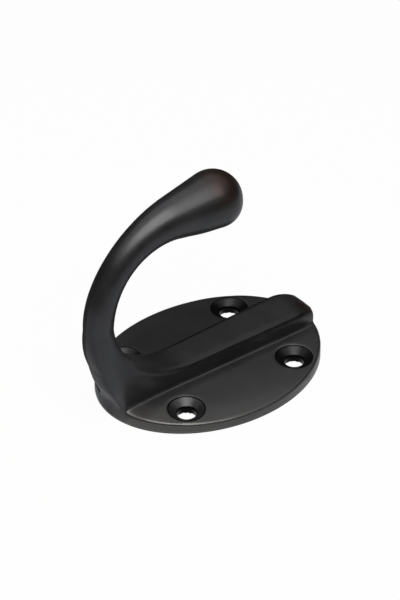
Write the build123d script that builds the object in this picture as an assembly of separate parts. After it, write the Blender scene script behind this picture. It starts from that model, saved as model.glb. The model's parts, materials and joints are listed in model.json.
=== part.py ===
from build123d import *
from math import cos, pi, radians, sin, sqrt, tan
import os

# Single robe hook, one casting: an oval screw plate, a raised rib along it and an arm with a club tip.
# Millimetres. Origin at the middle of the flat back, +Z out of the wall, +Y up the wall.

# Plate
plate_length = 54.0
plate_width = 41.7
plate_height = 3.35
crown_radius = 260.0
rim_break = 0.3

# Screw holes, countersunk
screw_spacing_x = 23.0
screw_spacing_y = 29.9
screw_hole = 4.2
countersink_rim = 8.4
countersink_angle = 116.0

# Rib along the middle of the plate, which rolls over at its free end
rib_width_root = 8.0
rib_width_end = 10.4
rib_height = 7.5
rib_rounding = 1.3
rib_sink = 1.1
roll_length = 6.0
roll_drop = 1.5
roll_narrow = 1.0
roll_rounding = 1.9
roll_power = 2.4
roll_shares = (0, 0.4, 0.75, 1.1)
cove_radius = 0.9
cove_bite = 0.12
cove_clear = 0.3

# Root, where the rib turns up into the arm
root_run = 19.0
root_rise = 16.35
root_lean_height = 21.8
root_turns = (0.0, 28.0, 55.0)
root_roundings = (rib_rounding, 1.6, 2.4)
root_heel_roundings = (rib_rounding, 0.5, 2.0)
heel_height = 14.0
heel_depth = 5.0
heel_head_width = 5.4
heel_head_depth = 1.5
heel_bury = 0.4
heel_shares = (0, 0.33, 0.67, 1)
arm_overhang = 5.9

# Arm, a round bar on a bend
arm_root = 6.6
arm_neck = 6.7
bend_radius = 20.55
bend_sweep = 89.0
arm_shares = (0, 0.25, 0.5, 0.75, 1)

# Club tip, turned about the arm's last direction
club_start = 9.8
club_flare = 1.7
club_end = 12.8
club_length = 9.5

# Places that follow from the sizes
rib_floor = plate_height - rib_sink
root_outer_y = -plate_length / 2 - arm_overhang
root_centre_y = root_outer_y + arm_root + root_run
root_centre_z = rib_height + root_rise
bend_centre_y = root_outer_y + arm_root / 2 + bend_radius
bend_centre_z = root_centre_z


def mix(start, end, share):
    return start + (end - start) * share


def rib_width(y):
    """Width of the rib, which grows evenly along the plate."""
    return mix(rib_width_root, rib_width_end, y / plate_length + 0.5)


def box_section(inner, outer, width, inner_rounding, outer_rounding):
    """A rounded-box section across X, from inner to outer, both given as (Y, Z)."""
    centre = Vector(0, (inner[0] + outer[0]) / 2, (inner[1] + outer[1]) / 2)
    reach = Vector(0, inner[0] - outer[0], inner[1] - outer[1])
    up = reach.normalized()
    across = Vector(1, 0, 0)
    arcs = []
    for quarter in range(4):
        rounding = (inner_rounding, inner_rounding, outer_rounding, outer_rounding)[quarter]
        half_x = across * (width / 2 - rounding) * (1, -1, -1, 1)[quarter]
        half_up = up * (reach.length / 2 - rounding) * (1, 1, -1, -1)[quarter]
        turns = [radians(90 * quarter + step) for step in (0, 45, 90)]
        rays = [across * (rounding * cos(turn)) + up * (rounding * sin(turn)) for turn in turns]
        arcs.append(Edge.make_three_point_arc(*[centre + half_x + half_up + ray for ray in rays]))
    edges = []
    for quarter in range(4):
        edges.append(arcs[quarter])
        edges.append(Edge.make_line(arcs[quarter] @ 1, arcs[(quarter + 1) % 4] @ 0))
    return Wire(edges)


def eight_arc_section(plane, radius):
    """A round section in eight arcs, one for each corner and side of a box section."""
    return Wire([Edge.make_circle(radius, plane, 45 * step + 22.5, 45 * step + 67.5) for step in range(8)])


# Plate: an oval with a flat back and a crown that falls to both long sides
def make_crown():
    middle = Pos(0, 0, plate_height - crown_radius)
    return middle * Cylinder(crown_radius, 2 * plate_length, rotation=(90, 0, 0))


def crown_drop(x):
    """Fall of the plate's top from the middle line to x."""
    return crown_radius - sqrt(crown_radius ** 2 - x ** 2)


def make_oval(height, inset=0.0):
    return extrude(Ellipse(plate_width / 2 - inset, plate_length / 2 - inset), height)


def make_plate():
    plate = make_oval(2 * plate_height) & make_crown()
    return chamfer(plate.edges().sort_by(Axis.Z)[-1], rim_break)


# Rib: straight run, then the free end that rolls over and is cut flush with the rim
def rib_section(y, drop, narrow, rounding):
    width = rib_width(y) - 2 * narrow
    return box_section((y, rib_height - drop), (y, rib_floor), width, rounding, rounding)


def roll_place(share):
    """Y of the rolling end and how much it has narrowed on each side."""
    return plate_length / 2 - roll_length * (1 - share), roll_narrow * share ** 2


def roll_section(share):
    y, narrow = roll_place(share)
    rounding = mix(rib_rounding, roll_rounding, share)
    return rib_section(y, roll_drop * share ** roll_power, narrow, rounding)


def make_rib():
    start = rib_section(root_centre_y, 0, 0, rib_rounding)
    run = Solid.make_loft([start, roll_section(0)], ruled=True)
    end = Solid.make_loft([roll_section(share) for share in roll_shares])
    return run + (end & make_oval(2 * rib_height))


# Cove: the small hollow round along the rib's foot, sunk a little into the rib and the plate
def cove_section(y, narrow, side):
    wall = rib_width(y) / 2 - narrow - cove_bite
    top = plate_height - crown_drop(wall) - cove_bite
    lag = cove_radius * (1 - sqrt(0.5))
    high = Vector(side * wall, y, top + cove_radius)
    middle = Vector(side * (wall + lag), y, top + lag)
    low = Vector(side * (wall + cove_radius), y, top)
    outer = Vector(side * (wall + cove_radius), y, rib_floor)
    inner = Vector(side * wall, y, rib_floor)
    hollow = Edge.make_three_point_arc(high, middle, low)
    sides = [Edge.make_line(*ends) for ends in ((low, outer), (outer, inner), (inner, high))]
    return Wire([hollow] + sides)


def make_cove(side):
    places = [(-plate_length / 2, 0)] + [roll_place(share) for share in roll_shares]
    strip = Solid.make_loft([cove_section(y, narrow, side) for y, narrow in places], ruled=True)
    return strip & make_oval(rib_height, rim_break + cove_clear)


# Root: the rib's section turns along the hollow of the root and becomes the arm's
def root_outer(z):
    """Y of the root's outer face, upright at the rim and again where the arm starts."""
    climb = (z - plate_height / 2) / (root_lean_height - plate_height / 2)
    share = (1 - cos(pi * min(max(climb, 0), 1))) / 2
    return mix(-plate_length / 2, root_outer_y, share)


def root_place(turn, reach):
    """A point (Y, Z) on the hollow's oval, or reach times as far from its centre."""
    y = root_centre_y - reach * root_run * sin(radians(turn))
    z = root_centre_z - reach * root_rise * cos(radians(turn))
    return y, z


def root_reach(turn):
    """How far out the section reaches: to the outer face or to the rib's floor."""
    near = 1.0
    far = 1 + plate_length / root_run
    for _ in range(40):
        middle = (near + far) / 2
        y, z = root_place(turn, middle)
        if z > rib_floor and y > root_outer(z):
            near = middle
        else:
            far = middle
    return near


def root_section(turn, inner_rounding, outer_rounding):
    inner = root_place(turn, 1)
    outer = root_place(turn, root_reach(turn))
    return box_section(inner, outer, rib_width(inner[0]), inner_rounding, outer_rounding)


def make_root():
    stations = zip(root_turns, root_roundings, root_heel_roundings)
    boxes = [root_section(*station) for station in stations]
    return Solid.make_loft(boxes + [eight_arc_section(arm_plane(0), arm_root / 2)])


# Heel: fills the root's lower corner, flush with the rim and flaring up into the arm's outer face
def heel_oval(share):
    """The rim's oval, grown as far as the root's outer face leans out at that height."""
    z = heel_height * share
    growth = -plate_length / 2 - root_outer(z) - heel_bury * share
    return Wire(Edge.make_ellipse(plate_width / 2 + growth, plate_length / 2 + growth, Plane.XY.offset(z)))


def heel_box(z, width, depth):
    """A rectangle at height z, from beyond the arm's outer face to a depth behind the rim."""
    front = root_outer_y - arm_root
    back = -plate_length / 2 + depth
    corners = [(-width / 2, front, z), (width / 2, front, z), (width / 2, back, z), (-width / 2, back, z)]
    return Wire.make_polygon(corners)


def make_heel():
    flare = Solid.make_loft([heel_oval(share) for share in heel_shares])
    width = rib_width(heel_depth - plate_length / 2)
    foot = heel_box(rim_break, width, heel_depth)
    waist = heel_box(rib_height, width, heel_depth)
    head = heel_box(heel_height, heel_head_width, heel_head_depth)
    return Solid.make_loft([foot, waist, head], ruled=True) & flare


# Arm: round sections on the bend, thinnest halfway round it
def arm_plane(share):
    angle = radians(bend_sweep * share)
    centre = (0, bend_centre_y - bend_radius * cos(angle), bend_centre_z + bend_radius * sin(angle))
    return Plane(origin=centre, x_dir=(1, 0, 0), z_dir=(0, sin(angle), cos(angle)))


def arm_thickness(share):
    if share < 0.5:
        return mix(arm_root, arm_neck, 2 * share)
    return mix(arm_neck, club_start, (2 * share - 1) ** club_flare)


def make_arm():
    rounds = [Edge.make_circle(arm_thickness(share) / 2, arm_plane(share)) for share in arm_shares]
    return Solid.make_loft([Wire(edge) for edge in rounds])


# Club: a cone turned about the arm's last direction, closed by a round tip that is tangent to it
def make_club():
    foot = arm_plane(1)
    flare = (club_end - club_start) / 2 / club_length
    flank = Line((0, club_start / 2), (club_length, club_end / 2))
    tip_centre = club_length + club_end / 2 * flare
    tip_radius = club_end / 2 * sqrt(1 + flare ** 2)
    apex = (tip_centre + tip_radius, 0)
    tip = TangentArc(flank @ 1, apex, tangent=flank % 1)
    outline = make_face([flank, tip, Line(apex, (0, 0)), Line((0, 0), flank @ 0)])
    side = Plane(origin=foot.origin, x_dir=foot.z_dir, z_dir=(1, 0, 0))
    return revolve(side * outline, axis=Axis(foot.origin, foot.z_dir))


# Screw holes: straight through, with a cone that opens on the crown
def make_screw_hole():
    top = plate_height - crown_drop(screw_spacing_x / 2)
    slope = tan(radians(countersink_angle / 2))
    depth = (countersink_rim - screw_hole) / 2 / slope
    clear = depth / 2
    cone = Cone(screw_hole / 2, countersink_rim / 2 + clear * slope, depth + clear)
    drill = Cylinder(screw_hole / 2, 2 * plate_height)
    return drill + Pos(0, 0, top + (clear - depth) / 2) * cone


hook = make_plate() + make_rib() + make_root() + make_heel() + make_arm() + make_club()
hook += [make_cove(side) for side in (-1, 1)]
hook -= [place * make_screw_hole() for place in GridLocations(screw_spacing_x, screw_spacing_y, 2, 2)]

os.makedirs("parts", exist_ok=True)
export_step(hook, "parts/robe_hook.step")
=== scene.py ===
import json
from math import cos, radians, sin, sqrt

import bmesh
import bpy
from mathutils import Matrix, Vector


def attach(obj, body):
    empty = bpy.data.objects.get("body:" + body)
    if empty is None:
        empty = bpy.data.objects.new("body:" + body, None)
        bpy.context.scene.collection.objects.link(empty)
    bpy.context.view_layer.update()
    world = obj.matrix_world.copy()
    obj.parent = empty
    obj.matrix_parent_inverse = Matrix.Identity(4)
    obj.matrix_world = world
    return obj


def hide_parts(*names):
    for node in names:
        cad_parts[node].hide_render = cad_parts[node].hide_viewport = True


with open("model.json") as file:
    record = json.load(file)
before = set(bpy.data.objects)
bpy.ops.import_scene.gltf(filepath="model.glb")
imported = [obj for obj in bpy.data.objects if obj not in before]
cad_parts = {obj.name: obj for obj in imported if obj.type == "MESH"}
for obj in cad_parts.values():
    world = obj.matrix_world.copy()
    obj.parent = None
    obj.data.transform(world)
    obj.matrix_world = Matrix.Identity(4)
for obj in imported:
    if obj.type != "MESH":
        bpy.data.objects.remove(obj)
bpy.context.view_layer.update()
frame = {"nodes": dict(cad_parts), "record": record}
mounts = {mount["name"]: mount["dims"] for mount in frame["record"]["mounts"]}
screws = mounts["wall_screws"]

# Single robe hook in dark rubbed bronze, lying on its flat back.
# Metres, origin at the middle of the back, +Z out of the wall, +Y up the wall.
MM = 0.001

# Casting: the solid's mesh, made even
MERGE_GAP = 0.002 * MM
VOXEL = 0.245 * MM
BACK_DEPTH = 0.02 * MM
PLATE_OVAL = Vector((20.85, 27.0))  # half width and half length, in millimetres

# Heel: height, front, back, half width and corner rounding of each level, in millimetres
HEEL_LEVELS = (
    (1.0, -26.8, -21.5, 4.05, 0.4),
    (3.3, -27.0, -21.5, 4.05, 0.5),
    (5.5, -28.0, -22.0, 4.1, 1.2),
    (9.0, -29.9, -23.5, 4.1, 2.2),
    (12.5, -31.0, -25.0, 3.9, 2.8),
    (15.5, -31.5, -26.5, 3.6, 3.0),
    (18.5, -31.9, -27.5, 3.35, 3.1),
)
CORNER_STEPS = 8

# Softening: a little everywhere, much more where the heel meets the arm, none at the plate's foot
SOFTEN_PASSES = 2
HEEL_PASSES = 94
HEEL_MIDDLE = Vector((0.0, -28.0, 9.3)) * MM
HEEL_REACH = 10.5 * MM
FOOT_SHARP = 0.3 * MM
FOOT_SOFT = 1.2 * MM
FOOT_OUTER = 0.93  # share of the oval beyond which the back's border is the plate's foot

# Club: its lower sides swell a little
CLUB_SIDE = Vector((4.9, 4.2, 41.3)) * MM
CLUB_REACH = 5.5 * MM
CLUB_SWELL = 0.2 * MM

# Plate: its near half rolls down towards the rim, most at the front
PLATE_LOW = 3.2 * MM
PLATE_HIGH = 3.6 * MM
RIM_FRONT = Vector((8.0, -30.0, 2.0)) * MM
RIM_REACH = 60.0 * MM
ROLL_START = 0.62
ROLL_POWER = 2.0
ROLL_DEPTH = 0.5 * MM
ROLL_FULL = 2.4 * MM  # height from which the wall rolls in full, starting where the foot ends
ROLL_NEAR = 8.0 * MM
ROLL_FAR = -2.0 * MM

# Wear and painted highlight: edges, the rim, and the two places that hands and cloth rub; along the front
# rim the bright metal is partly rubbing and partly a painted highlight
EDGE_PASSES = 9
EDGE_RISE = 0.05 * MM
RIM_OUTER = 0.98
RIM_INNER = 0.7
TIP_TOP = Vector((2.7, 2.4, 50.2)) * MM
TIP_REACH = 8.5 * MM
RIB_END_TOP = Vector((2.6, 25.4, 6.6)) * MM
RIB_END_REACH = 4.2 * MM

# Screw holes, darkened with painted shade: the bore, the lip and the countersink are painted dark, the
# far countersinks darker than the front one
HOLE_PLACE = Vector((screws["spacing_x_mm"], screws["spacing_y_mm"], 0.0)) / 2 * MM
BORE_FULL = 2.16 * MM
BORE_NONE = 2.3 * MM
LIP_RADIUS = 4.05 * MM
LIP_FULL = 0.08 * MM
LIP_NONE = 0.2 * MM
FRONT_HOLE = Vector((HOLE_PLACE.x, -HOLE_PLACE.y, 0.0))
FRONT_REACH = 45.0 * MM
CONE_SHADE = 0.72
FRONT_CONE_SHADE = 0.16

# Rib's long edges, darkened with painted shade that dulls the highlight on their rounding
RIB_SHADE = 0.45
RIB_KEEN = (0.5, 0.95)
RIB_FOOT = 4.4 * MM
RIB_SIDE = 5.4 * MM
RIB_TOP = 7.7 * MM
RIB_ABOVE = 8.8 * MM
RIB_RUN = -8.0 * MM
RIB_ROOT = -15.0 * MM

# Finish: a dark mottled oxide over bronze, with copper or bright metal where it is rubbed; the bright
# metal on the front rim is also a painted highlight, and BLACK is painted shade in the screw holes and on
# the rib's edges
DARK_COAT = (0.0135, 0.0136, 0.015, 1.0)
PALE_COAT = (0.02, 0.0202, 0.022, 1.0)
COPPER = (0.038, 0.0225, 0.019, 1.0)
BARE_EDGE_AND_SHEEN = (0.109, 0.107, 0.104, 1.0)
BLACK = (0.004, 0.004, 0.004, 1.0)
MOTTLE_SCALE = 160.0
MOTTLE_DETAIL = 4.0
MOTTLE_ROUGHNESS = 0.5
MOTTLE_RANGE = (0.35, 0.65)
PATCH_RANGE = (0.25, 0.7)
PATCH_LEAST = 0.75
GRAIN_SCALE = 2600.0
GRAIN_DETAIL = 3.0
GRAIN_ROUGHNESS = 0.6
GRAIN_RANGE = (0.3, 0.7)
GRAIN_BUMP = 0.06
GRAIN_DEPTH = 0.05 * MM
ROUGH_LOW = 0.3
ROUGH_HIGH = 0.38
RUB_ROUGH = 0.5
COPPER_METAL = 0.8
EDGE_RANGE = (0.3, 1.0)
# Bright metal on the front rim and near plate: partly rubbing, partly a painted highlight
WALL_WEAR_AND_SHEEN = 0.58
EDGE_WEAR_AND_SHEEN = 0.82
GLOSS = 0.55
# GLOSS_TINT is a painted cool reflection: it tints the gloss blue in place of a cool fill light
GLOSS_TINT = (0.93, 0.95, 1.0, 1.0)

# Studio: a pale floor, a white surround and one softbox
FLOOR_HALF = 3.0
FLOOR_DROP = 0.05 * MM
FLOOR_GREY = 0.9
FLOOR_WHITE = 0.96
SURROUND_LIGHT = 0.25
LAMP_AIM = Vector((0.0, -5.0, 20.0)) * MM
LAMP_DIRECTION = Vector((0.45, -0.2, 0.87))
LAMP_DISTANCE = 0.6
LAMP_SIZE = (0.72, 0.46)
LAMP_POWER = 4.8
LAMP_COLOUR = (1.0, 0.975, 0.91)

# Dark curtain round the set
CURTAIN_RADIUS = 0.3
CURTAIN_HEIGHT = 0.3
CURTAIN_GREY = 0.02
CURTAIN_STEPS = 64

# Cards on the floor: name, first and last compass angle, inner and outer gap from the plate
# in millimetres, and grey
CARD_STEPS = 48
CARD_TINT = (0.95, 0.98, 1.06)
CARDS = (
    ("front_card", 12.0, 122.0, 4.5, 280.0, 0.78),
    ("right_card", 122.0, 205.0, 0.4, 280.0, 0.85),
    ("back_card", 205.0, 330.0, 0.4, 280.0, 0.1),
    ("left_card", 330.0, 372.0, 3.2, 280.0, 0.55),
    ("foot_card", 330.0, 372.0, 0.2, 3.2, 0.92),
)

# Camera, at the photograph's angle
CAMERA_AZIMUTH = 51.93
CAMERA_ELEVATION = 36.116
CAMERA_DISTANCE = 0.756
CAMERA_ASIDE = Vector((1.7925, -14.923)) * MM
FOCAL_PIXELS = 3438.9
LONG_SIDE_PIXELS = 600
SENSOR = 36.0
CLIP_NEAR = 0.01
CLIP_FAR = 50.0

# Node trees: the gap between nodes in a row, and a Mix node's three inputs and output by kind
NODE_GAP = 180
MIX_SOCKETS = {"VECTOR": (0, 4, 5, 1), "RGBA": (0, 6, 7, 2)}


# Objects
def add_object(name, data):
    holder = bpy.data.objects.new(name, data)
    bpy.context.scene.collection.objects.link(holder)
    return holder


def mesh_of(name, shape):
    """A new mesh from an edited shape, which is freed."""
    mesh = bpy.data.meshes.new(name)
    shape.to_mesh(mesh)
    shape.free()
    return mesh


# Nodes
def empty_tree(owner):
    """The node tree of a material or world, cleared."""
    owner.use_nodes = True
    owner.node_tree.nodes.clear()
    return owner.node_tree


def add_node(tree, kind, place, **settings):
    node = tree.nodes.new(kind)
    node.location = place
    for name, value in settings.items():
        setattr(node, name, value)
    return node


def feed(tree, value, socket):
    """Joins another node's output to a socket, or sets a plain value on it."""
    if isinstance(value, bpy.types.NodeSocket):
        tree.links.new(value, socket)
    else:
        socket.default_value = value


def feed_all(tree, values, sockets):
    for value, socket in zip(values, sockets):
        feed(tree, value, socket)


def math_node(tree, operation, place, *values):
    node = add_node(tree, "ShaderNodeMath", place, operation=operation)
    feed_all(tree, values, node.inputs)
    return node.outputs[0]


def vector_node(tree, operation, place, *values):
    node = add_node(tree, "ShaderNodeVectorMath", place, operation=operation)
    feed_all(tree, values, node.inputs)
    return node


def scaled(tree, place, vector, scale):
    node = vector_node(tree, "SCALE", place, vector)
    feed(tree, scale, node.inputs["Scale"])
    return node.outputs["Vector"]


def chain(tree, operation, place, first, *others):
    """All the values taken together, by a row of math nodes."""
    for step, other in enumerate(others):
        first = math_node(tree, operation, (place[0] + NODE_GAP * step, place[1]), first, other)
    return first


def product(tree, place, *values):
    return chain(tree, "MULTIPLY", place, *values)


def most(tree, place, *values):
    return chain(tree, "MAXIMUM", place, *values)


def rest_of(tree, place, share):
    """What a share leaves of 1."""
    return math_node(tree, "SUBTRACT", place, 1.0, share)


def split(tree, place, vector):
    node = add_node(tree, "ShaderNodeSeparateXYZ", place)
    feed(tree, vector, node.inputs["Vector"])
    return node.outputs


def mix(tree, place, kind, share, first, second):
    node = add_node(tree, "ShaderNodeMix", place, data_type=kind)
    *inputs, output = MIX_SOCKETS[kind]
    feed_all(tree, (share, first, second), [node.inputs[index] for index in inputs])
    return node.outputs[output]


def map_range(tree, place, kind, value, limits, ends):
    """The value carried from its limits to the ends, and held there beyond them."""
    node = add_node(tree, "ShaderNodeMapRange", place, interpolation_type=kind)
    names = ("Value", "From Min", "From Max", "To Min", "To Max")
    feed_all(tree, (value, *limits, *ends), [node.inputs[name] for name in names])
    return node.outputs["Result"]


def ramp(tree, place, value, limits, ends):
    return map_range(tree, place, "SMOOTHSTEP", value, limits, ends)


def fade(tree, place, value, full, none):
    """1 where the value is at full or past it, falling softly to 0 at none."""
    return map_range(tree, place, "SMOOTHERSTEP", value, (full, none), (1.0, 0.0))


def spot(tree, place, position, middle, reach):
    """1 at the middle, falling softly to 0 at its reach."""
    gap = vector_node(tree, "DISTANCE", place, position, middle).outputs["Value"]
    return fade(tree, (place[0] + NODE_GAP, place[1]), gap, 0.0, reach)


# Geometry nodes: soften the casting, shape its heel, club and rim, and mark the wear
def add_casting_inputs(tree):
    counts = {"Soften Passes": SOFTEN_PASSES, "Heel Passes": HEEL_PASSES, "Edge Passes": EDGE_PASSES}
    places = {"Heel Middle": HEEL_MIDDLE, "Club Side": CLUB_SIDE, "Tip Top": TIP_TOP,
              "Rib End Top": RIB_END_TOP, "Rim Front": RIM_FRONT}
    sizes = {"Heel Reach": HEEL_REACH, "Foot Sharp": FOOT_SHARP, "Foot Soft": FOOT_SOFT,
             "Club Reach": CLUB_REACH, "Club Swell": CLUB_SWELL, "Edge Rise": EDGE_RISE,
             "Tip Reach": TIP_REACH, "Rib End Reach": RIB_END_REACH, "Rim Reach": RIM_REACH,
             "Rim Outer": RIM_OUTER, "Rim Inner": RIM_INNER, "Plate Low": PLATE_LOW,
             "Plate High": PLATE_HIGH, "Roll Start": ROLL_START, "Roll Power": ROLL_POWER,
             "Roll Depth": ROLL_DEPTH, "Roll Full": ROLL_FULL, "Roll Near": ROLL_NEAR,
             "Roll Far": ROLL_FAR}
    tree.interface.new_socket("Geometry", in_out="INPUT", socket_type="NodeSocketGeometry")
    kinds = (("NodeSocketInt", counts), ("NodeSocketVector", places), ("NodeSocketFloat", sizes))
    for kind, values in kinds:
        for name, value in values.items():
            socket = tree.interface.new_socket(name, in_out="INPUT", socket_type=kind)
            socket.default_value = value
    tree.interface.new_socket("Finish", in_out="INPUT", socket_type="NodeSocketMaterial")


def blurred(tree, place, value, passes):
    node = add_node(tree, "GeometryNodeBlurAttribute", place, data_type="FLOAT_VECTOR")
    feed(tree, value, node.inputs["Value"])
    feed(tree, passes, node.inputs["Iterations"])
    return node.outputs["Value"]


def store(tree, place, geometry, name, value):
    node = add_node(tree, "GeometryNodeStoreNamedAttribute", place, data_type="FLOAT", domain="POINT")
    node.inputs["Name"].default_value = name
    feed(tree, geometry, node.inputs["Geometry"])
    feed(tree, value, node.inputs["Value"])
    return node.outputs["Geometry"]


def normal(tree, place):
    return add_node(tree, "GeometryNodeInputNormal", place).outputs["Normal"]


def oval_share(tree, place, position):
    """0 at the plate's middle and 1 on its oval rim."""
    shrink = (1.0 / (PLATE_OVAL.x * MM), 1.0 / (PLATE_OVAL.y * MM), 0.0)
    oval = vector_node(tree, "MULTIPLY", place, position, shrink).outputs["Vector"]
    return vector_node(tree, "LENGTH", (place[0] + NODE_GAP, place[1]), oval).outputs["Value"]


def soft_position(tree, position, height, sizes):
    """Edges softened a little everywhere, and much more where the heel meets the arm."""
    soft = blurred(tree, (-900, 100), position, sizes["Soften Passes"])
    melted = blurred(tree, (-900, -100), position, sizes["Heel Passes"])
    side_on = vector_node(tree, "MULTIPLY", (-900, -300), position, (0.0, 1.0, 1.0)).outputs["Vector"]
    heel = spot(tree, (-700, -300), side_on, sizes["Heel Middle"], sizes["Heel Reach"])
    eased = mix(tree, (-400, 0), "VECTOR", heel, soft, melted)
    foot = fade(tree, (-400, -200), height, sizes["Foot Sharp"], sizes["Foot Soft"])
    return mix(tree, (-200, 0), "VECTOR", foot, eased, position)


def edge_share(tree, position, sizes):
    """How sharply the surface turns: above 0 on edges, below 0 in hollows."""
    spread = blurred(tree, (-900, -600), position, sizes["Edge Passes"])
    lift = vector_node(tree, "SUBTRACT", (-700, -600), position, spread).outputs["Vector"]
    outward = normal(tree, (-700, -750))
    rise = vector_node(tree, "DOT_PRODUCT", (-500, -600), lift, outward).outputs["Value"]
    return math_node(tree, "DIVIDE", (-300, -600), rise, sizes["Edge Rise"])


def rub_share(tree, position, sizes):
    """1 on top of the club and at the rib's end, falling to 0 round them."""
    tip = spot(tree, (-900, -1000), position, sizes["Tip Top"], sizes["Tip Reach"])
    end = spot(tree, (-900, -1200), position, sizes["Rib End Top"], sizes["Rib End Reach"])
    return most(tree, (-500, -1100), tip, end)


def rim_share(tree, out, plate, front, sizes):
    """1 along the plate's rim at its front end, fading towards the plate's middle and its far end."""
    edge = fade(tree, (-500, -1500), out, sizes["Rim Outer"], sizes["Rim Inner"])
    return product(tree, (-300, -1500), edge, plate, front)


def rim_roll(tree, sides, out, plate, front, sizes):
    """How far the plate's near half rolls down towards its rim."""
    rim = map_range(tree, (-500, -2000), "LINEAR", out, (sizes["Roll Start"], 1.0), (0.0, 1.0))
    curve = math_node(tree, "POWER", (-300, -2000), rim, sizes["Roll Power"])
    upper = fade(tree, (-500, -2200), sides["Z"], sizes["Roll Full"], sizes["Foot Soft"])
    near = fade(tree, (-500, -2400), sides["X"], sizes["Roll Near"], sizes["Roll Far"])
    depth = product(tree, (-100, -2000), curve, plate, front, upper, near, sizes["Roll Depth"])
    return scaled(tree, (900, -2000), (0.0, 0.0, -1.0), depth)


def club_swell(tree, position, sizes):
    """The club's lower end swells a little on both sides, which makes it blunter."""
    fold = vector_node(tree, "ABSOLUTE", (-900, -2700), position).outputs["Vector"]
    share = spot(tree, (-700, -2700), fold, sizes["Club Side"], sizes["Club Reach"])
    height = product(tree, (-300, -2700), share, sizes["Club Swell"])
    return scaled(tree, (-100, -2700), normal(tree, (-300, -2900)), height)


def make_casting_tree():
    tree = bpy.data.node_groups.new("soft_casting", "GeometryNodeTree")
    add_casting_inputs(tree)
    tree.interface.new_socket("Geometry", in_out="OUTPUT", socket_type="NodeSocketGeometry")
    sizes = add_node(tree, "NodeGroupInput", (-1600, 0)).outputs
    position = add_node(tree, "GeometryNodeInputPosition", (-1600, -600)).outputs["Position"]
    sides = split(tree, (-1300, -600), position)
    out = oval_share(tree, (-1300, -1500), position)
    plate = fade(tree, (-1300, -1700), sides["Z"], sizes["Plate Low"], sizes["Plate High"])
    front = spot(tree, (-1300, -1900), position, sizes["Rim Front"], sizes["Rim Reach"])

    marks = {"edge": edge_share(tree, position, sizes), "rub": rub_share(tree, position, sizes),
             "rim": rim_share(tree, out, plate, front, sizes)}
    geometry = sizes["Geometry"]
    for step, (name, value) in enumerate(marks.items()):
        geometry = store(tree, (NODE_GAP * step - 400, 300), geometry, name, value)

    softened = add_node(tree, "GeometryNodeSetPosition", (400, 0))
    feed(tree, soft_position(tree, position, sides["Z"], sizes), softened.inputs["Position"])
    roll = rim_roll(tree, sides, out, plate, front, sizes)
    shift = vector_node(tree, "ADD", (1100, -2300), roll, club_swell(tree, position, sizes))
    feed(tree, shift.outputs["Vector"], softened.inputs["Offset"])
    smooth = add_node(tree, "GeometryNodeSetShadeSmooth", (700, 0))
    real = add_node(tree, "GeometryNodeRealizeInstances", (950, 0))
    finish = add_node(tree, "GeometryNodeSetMaterial", (1200, 0))
    feed(tree, sizes["Finish"], finish.inputs["Material"])
    for node in (softened, smooth, real, finish):
        feed(tree, geometry, node.inputs["Geometry"])
        geometry = node.outputs["Geometry"]
    result = add_node(tree, "NodeGroupOutput", (1500, 0))
    feed(tree, geometry, result.inputs["Geometry"])
    return tree


# Finish
def noise(tree, place, position, scale, detail, roughness):
    node = add_node(tree, "ShaderNodeTexNoise", place)
    names = ("Vector", "Scale", "Detail", "Roughness")
    feed_all(tree, (position, scale, detail, roughness), [node.inputs[name] for name in names])
    return node.outputs["Fac"]


def attribute(tree, place, name):
    return add_node(tree, "ShaderNodeAttribute", place, attribute_name=name).outputs["Fac"]


def hole_shade_shares(tree, position):
    """Painted shade in the four screw holes, and the countersinks as a whole."""
    flat = vector_node(tree, "MULTIPLY", (-900, -800), position, (1.0, 1.0, 0.0)).outputs["Vector"]
    fold = vector_node(tree, "ABSOLUTE", (-700, -800), flat).outputs["Vector"]
    gap = vector_node(tree, "DISTANCE", (-500, -800), fold, HOLE_PLACE).outputs["Value"]
    bore = fade(tree, (-300, -800), gap, BORE_FULL, BORE_NONE)
    off = math_node(tree, "SUBTRACT", (-300, -1000), gap, LIP_RADIUS)
    lip = fade(tree, (100, -1000), math_node(tree, "ABSOLUTE", (-100, -1000), off), LIP_FULL, LIP_NONE)
    cone = fade(tree, (-300, -1200), gap, LIP_RADIUS, LIP_RADIUS + LIP_NONE)
    front = spot(tree, (-500, -1400), flat, FRONT_HOLE, FRONT_REACH)
    shade = ramp(tree, (-100, -1400), front, (0.0, 1.0), (CONE_SHADE, FRONT_CONE_SHADE))
    painted_cone_shade = product(tree, (100, -1300), cone, shade)
    return most(tree, (300, -1000), bore, lip, painted_cone_shade), cone


def rib_edge_shade_share(tree, position, edge, rub, rim):
    """The rib's long edges, darkened with painted shade, without the rubbed end."""
    sides = split(tree, (-1100, -1700), position)
    below = fade(tree, (-900, -1700), sides["Z"], RIB_TOP, RIB_ABOVE)
    above = fade(tree, (-900, -1900), sides["Z"], RIB_SIDE, RIB_FOOT)
    run = fade(tree, (-900, -2100), sides["Y"], RIB_RUN, RIB_ROOT)
    keen = ramp(tree, (-900, -2300), edge, RIB_KEEN, (0.0, RIB_SHADE))
    unworn = rest_of(tree, (-700, -2500), most(tree, (-900, -2500), rub, rim))
    return product(tree, (-500, -1900), below, above, run, keen, unworn)


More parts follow.
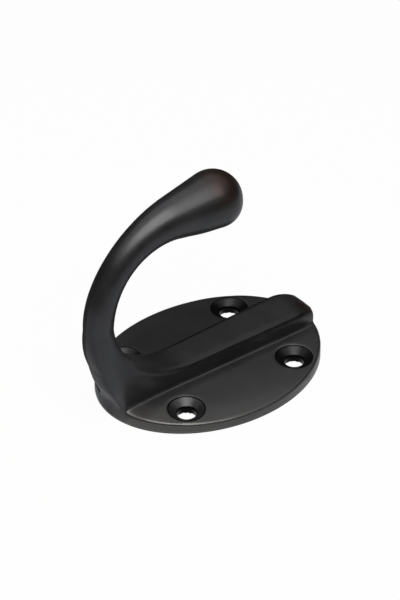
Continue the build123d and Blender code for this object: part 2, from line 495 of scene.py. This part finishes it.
def finish_shares(tree, position, mottle):
    """Shares of copper, bright metal (rubbing and painted highlight) and black (painted shade)."""
    edge = attribute(tree, (-1200, -300), "edge")
    rub = attribute(tree, (-1200, -500), "rub")
    rim = attribute(tree, (-1200, -700), "rim")
    patchy = ramp(tree, (-650, -450), mottle, PATCH_RANGE, (PATCH_LEAST, 1.0))
    copper = product(tree, (-400, -450), rub, patchy)
    # Painted shade: black in the bores, on the lips and in the countersinks
    painted_hole_shade, cone = hole_shade_shares(tree, position)
    # Bright metal on the front rim and near plate: partly rubbing, partly a painted highlight
    wear_and_sheen = ramp(tree, (-650, -250), edge, EDGE_RANGE, (WALL_WEAR_AND_SHEEN, EDGE_WEAR_AND_SHEEN))
    bare_and_sheen = product(tree, (-400, -250), wear_and_sheen, rim, rest_of(tree, (-400, -650), cone))
    # Painted shade on the rib's long edges, dulling their highlight
    painted_rib_shade = rib_edge_shade_share(tree, position, edge, rub, rim)
    return copper, bare_and_sheen, most(tree, (400, 300), painted_hole_shade, painted_rib_shade)


def finish_colour(tree, mottle, copper, bare_and_sheen, black):
    clouds = ramp(tree, (-650, 200), mottle, MOTTLE_RANGE, (0.0, 1.0))
    colour = mix(tree, (-400, 200), "RGBA", clouds, DARK_COAT, PALE_COAT)
    colour = mix(tree, (-150, 100), "RGBA", copper, colour, COPPER)
    colour = mix(tree, (100, 100), "RGBA", bare_and_sheen, colour, BARE_EDGE_AND_SHEEN)
    return mix(tree, (700, 100), "RGBA", black, colour, BLACK)


def grain_bump(tree, grain):
    bump = add_node(tree, "ShaderNodeBump", (800, -400))
    bump.inputs["Strength"].default_value = GRAIN_BUMP
    bump.inputs["Distance"].default_value = GRAIN_DEPTH
    feed(tree, grain, bump.inputs["Height"])
    return bump.outputs["Normal"]


def make_rubbed_bronze():
    material = bpy.data.materials.new("rubbed_bronze")
    tree = empty_tree(material)
    output = add_node(tree, "ShaderNodeOutputMaterial", (1400, 0))
    metal = add_node(tree, "ShaderNodeBsdfPrincipled", (1100, 0))
    feed(tree, metal.outputs["BSDF"], output.inputs["Surface"])
    position = add_node(tree, "ShaderNodeTexCoord", (-1200, 0)).outputs["Object"]
    mottle = noise(tree, (-900, 200), position, MOTTLE_SCALE, MOTTLE_DETAIL, MOTTLE_ROUGHNESS)
    grain = noise(tree, (-900, 0), position, GRAIN_SCALE, GRAIN_DETAIL, GRAIN_ROUGHNESS)
    copper, bare_and_sheen, black = finish_shares(tree, position, mottle)
    coppery = product(tree, (100, -450), copper, COPPER_METAL)
    rubbed = product(tree, (100, -700), copper, RUB_ROUGH)
    rough = ramp(tree, (300, -150), grain, GRAIN_RANGE, (ROUGH_LOW, ROUGH_HIGH))

    feed(tree, finish_colour(tree, mottle, copper, bare_and_sheen, black), metal.inputs["Base Color"])
    feed(tree, most(tree, (300, -450), coppery, bare_and_sheen, black), metal.inputs["Metallic"])
    feed(tree, most(tree, (700, -200), rough, rubbed), metal.inputs["Roughness"])
    feed(tree, grain_bump(tree, grain), metal.inputs["Normal"])
    metal.inputs["Specular IOR Level"].default_value = GLOSS
    # The blue gloss tint is a painted cool reflection
    metal.inputs["Specular Tint"].default_value = GLOSS_TINT
    return material


# Casting
def heel_ring(shell, height, front, back, half, rounding):
    """One level of the heel: a box with rounded front corners, bowed like the plate's rim at its foot."""
    points = [(half, back)]
    for step in range(CORNER_STEPS + 1):
        turn = radians(90.0 * step / CORNER_STEPS)
        points.append((half - rounding + rounding * cos(turn), front + rounding - rounding * sin(turn)))
    points += [(-x, y) for x, y in reversed(points)]
    bow = max(0.0, 1.0 - height / HEEL_LEVELS[-1][0])
    ring = []
    for x, y in points:
        drop = PLATE_OVAL.y * (1.0 - sqrt(1.0 - (x / PLATE_OVAL.x) ** 2))
        ring.append(shell.verts.new(Vector((x, y + bow * drop, height)) * MM))
    return ring


def add_heel(shell):
    """The heel that carries the plate's rim up into the arm's outer face in one sweep."""
    rings = [heel_ring(shell, *level) for level in HEEL_LEVELS]
    for lower, upper in zip(rings, rings[1:]):
        for first in range(len(lower)):
            second = (first + 1) % len(lower)
            shell.faces.new((lower[first], upper[first], upper[second], lower[second]))
    shell.faces.new(rings[0])
    shell.faces.new(reversed(rings[-1]))


def make_raw_casting():
    source = frame["nodes"]["robe_hook"]
    shell = bmesh.new()
    shell.from_mesh(source.data)
    shell.transform(source.matrix_world)
    bmesh.ops.remove_doubles(shell, verts=shell.verts, dist=MERGE_GAP)
    add_heel(shell)
    bmesh.ops.recalc_face_normals(shell, faces=shell.faces)
    return add_object("raw_casting", mesh_of("raw_casting", shell))


def sharpen_foot(border):
    """Moves the outer border of the open back out to the plate's oval, so that the foot is sharp."""
    for corner in {corner for edge in border for corner in edge.verts}:
        out = Vector((corner.co.x / PLATE_OVAL.x, corner.co.y / PLATE_OVAL.y)).length / MM
        if out > FOOT_OUTER:
            corner.co.x /= out
            corner.co.y /= out


def thin_back(shell):
    """The flat back needs no even mesh: its small faces give way to a few large ones."""
    back = [face for face in shell.faces if all(abs(corner.co.z) < BACK_DEPTH for corner in face.verts)]
    bmesh.ops.delete(shell, geom=back, context="FACES")
    border = [edge for edge in shell.edges if edge.is_boundary]
    sharpen_foot(border)
    bmesh.ops.triangle_fill(shell, edges=border, use_beauty=True, normal=(0.0, 0.0, -1.0))
    bmesh.ops.triangulate(shell, faces=shell.faces)
    bmesh.ops.recalc_face_normals(shell, faces=shell.faces)
    for face in shell.faces:
        face.smooth = True


def make_casting(finish):
    raw = make_raw_casting()
    even = raw.modifiers.new("even_mesh", "REMESH")
    even.mode = "VOXEL"
    even.voxel_size = VOXEL
    even.adaptivity = 0.0
    soft = raw.modifiers.new("soft_casting", "NODES")
    soft.node_group = make_casting_tree()
    items = soft.node_group.interface.items_tree
    sockets = {item.name: item.identifier for item in items if item.in_out == "INPUT"}
    soft[sockets["Finish"]] = finish
    shaped = raw.evaluated_get(bpy.context.evaluated_depsgraph_get())
    mesh = bpy.data.meshes.new_from_object(shaped)
    bpy.data.objects.remove(raw)

    shell = bmesh.new()
    shell.from_mesh(mesh)
    thin_back(shell)
    shell.to_mesh(mesh)
    shell.free()
    return add_object("hook_casting", mesh)


# Studio
def add_staging(name, shape, material):
    """A thing on the set that isn't part of the object."""
    mesh = mesh_of(name, shape)
    mesh.materials.append(material)
    staging = add_object(name, mesh)
    return staging


def background_rays(tree, place):
    """1 for rays that show the background itself: seen directly, in a gloss or through glass."""
    rays = add_node(tree, "ShaderNodeLightPath", place).outputs
    kinds = [rays[name] for name in ("Is Camera Ray", "Is Glossy Ray", "Is Transmission Ray")]
    return most(tree, (place[0] + NODE_GAP, place[1]), *kinds)


def make_pale_paint():
    """The floor's paint, which shows almost white and still takes the object's shadow."""
    material = bpy.data.materials.new("pale_paint")
    tree = empty_tree(material)
    output = add_node(tree, "ShaderNodeOutputMaterial", (600, 0))
    matte = add_node(tree, "ShaderNodeBsdfDiffuse", (0, 0))
    matte.inputs["Color"].default_value = (FLOOR_GREY, FLOOR_GREY, FLOOR_GREY, 1.0)
    white = add_node(tree, "ShaderNodeEmission", (0, -200))
    share = product(tree, (100, 300), background_rays(tree, (-500, 300)), FLOOR_WHITE)
    blend = add_node(tree, "ShaderNodeMixShader", (300, 0))
    feed_all(tree, (share, matte.outputs["BSDF"], white.outputs["Emission"]), blend.inputs)
    feed(tree, blend.outputs["Shader"], output.inputs["Surface"])
    return material


def make_matte(name, colour):
    material = bpy.data.materials.new(name)
    tree = empty_tree(material)
    output = add_node(tree, "ShaderNodeOutputMaterial", (300, 0))
    matte = add_node(tree, "ShaderNodeBsdfDiffuse", (0, 0))
    matte.inputs["Color"].default_value = (*colour, 1.0)
    feed(tree, matte.outputs["BSDF"], output.inputs["Surface"])
    return material


def make_floor():
    shape = bmesh.new()
    bmesh.ops.create_grid(shape, x_segments=1, y_segments=1, size=FLOOR_HALF)
    bmesh.ops.translate(shape, verts=shape.verts, vec=(0.0, 0.0, -FLOOR_DROP))
    add_staging("floor", shape, make_pale_paint())


def make_curtain():
    """A dark curtain round the set, out of the camera's sight, so that low reflections stay dark."""
    shape = bmesh.new()
    bmesh.ops.create_cone(shape, cap_ends=False, segments=CURTAIN_STEPS, depth=CURTAIN_HEIGHT,
                          radius1=CURTAIN_RADIUS, radius2=CURTAIN_RADIUS)
    bmesh.ops.translate(shape, verts=shape.verts, vec=(0.0, 0.0, CURTAIN_HEIGHT / 2))
    cloth = make_matte("curtain_cloth", (CURTAIN_GREY, CURTAIN_GREY, CURTAIN_GREY))
    add_staging("curtain", shape, cloth).visible_camera = False


def make_card(name, first, last, inner_gap, outer_gap, grey):
    """A card on the floor beside the plate, between two compass angles, which only reflections see."""
    shape = bmesh.new()
    spokes = []
    for step in range(CARD_STEPS + 1):
        turn = radians(first + (last - first) * step / CARD_STEPS)
        spoke = []
        for gap in (inner_gap, outer_gap):
            across, along = sin(turn) * (PLATE_OVAL.x + gap), -cos(turn) * (PLATE_OVAL.y + gap)
            spoke.append(shape.verts.new(Vector((across, along, 0.0)) * MM))
        spokes.append(spoke)
    for (inner, outer), (next_inner, next_outer) in zip(spokes, spokes[1:]):
        shape.faces.new((inner, outer, next_outer, next_inner))
    paper = make_matte(name + "_paper", [grey * share for share in CARD_TINT])
    card = add_staging(name, shape, paper)
    card.visible_camera = False
    card.visible_diffuse = False
    card.visible_shadow = False


def make_surround():
    world = bpy.data.worlds.new("white_surround")
    tree = empty_tree(world)
    output = add_node(tree, "ShaderNodeOutputWorld", (600, 0))
    light = add_node(tree, "ShaderNodeBackground", (300, 0))
    light.inputs["Color"].default_value = (1.0, 1.0, 1.0, 1.0)
    rays = background_rays(tree, (-600, 0))
    strength = map_range(tree, (100, -200), "LINEAR", rays, (0.0, 1.0), (SURROUND_LIGHT, 1.0))
    feed(tree, strength, light.inputs["Strength"])
    feed(tree, light.outputs["Background"], output.inputs["Surface"])
    bpy.context.scene.world = world


def make_softbox():
    lamp = bpy.data.lights.new("softbox", "AREA")
    lamp.shape = "RECTANGLE"
    lamp.size, lamp.size_y = LAMP_SIZE
    lamp.energy = LAMP_POWER
    lamp.color = LAMP_COLOUR
    away = LAMP_DIRECTION.normalized()
    across = (Vector((1.0, 0.0, 0.0)) - away * away.x).normalized()
    axes = Matrix((across, away.cross(across), away)).transposed().to_4x4()
    axes.translation = LAMP_AIM + away * LAMP_DISTANCE
    add_object("softbox", lamp).matrix_world = axes


def make_camera():
    turn, tilt = radians(CAMERA_AZIMUTH), radians(CAMERA_ELEVATION)
    back = Vector((sin(turn) * cos(tilt), -cos(turn) * cos(tilt), sin(tilt)))
    right = Vector((cos(turn), sin(turn), 0.0))
    up = back.cross(right)
    lens = bpy.data.cameras.new("camera")
    lens.sensor_width = SENSOR
    lens.lens = FOCAL_PIXELS / LONG_SIDE_PIXELS * SENSOR
    lens.clip_start = CLIP_NEAR
    lens.clip_end = CLIP_FAR
    axes = Matrix((right, up, back)).transposed().to_4x4()
    axes.translation = back * CAMERA_DISTANCE - right * CAMERA_ASIDE.x - up * CAMERA_ASIDE.y
    camera = add_object("camera", lens)
    camera.matrix_world = axes
    bpy.context.scene.camera = camera


casting = make_casting(make_rubbed_bronze())
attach(casting, "root")
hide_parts("robe_hook")

make_camera()
make_floor()
make_curtain()
for card in CARDS:
    make_card(*card)
make_surround()
make_softbox()
bpy.context.scene.view_settings.view_transform = "Standard"
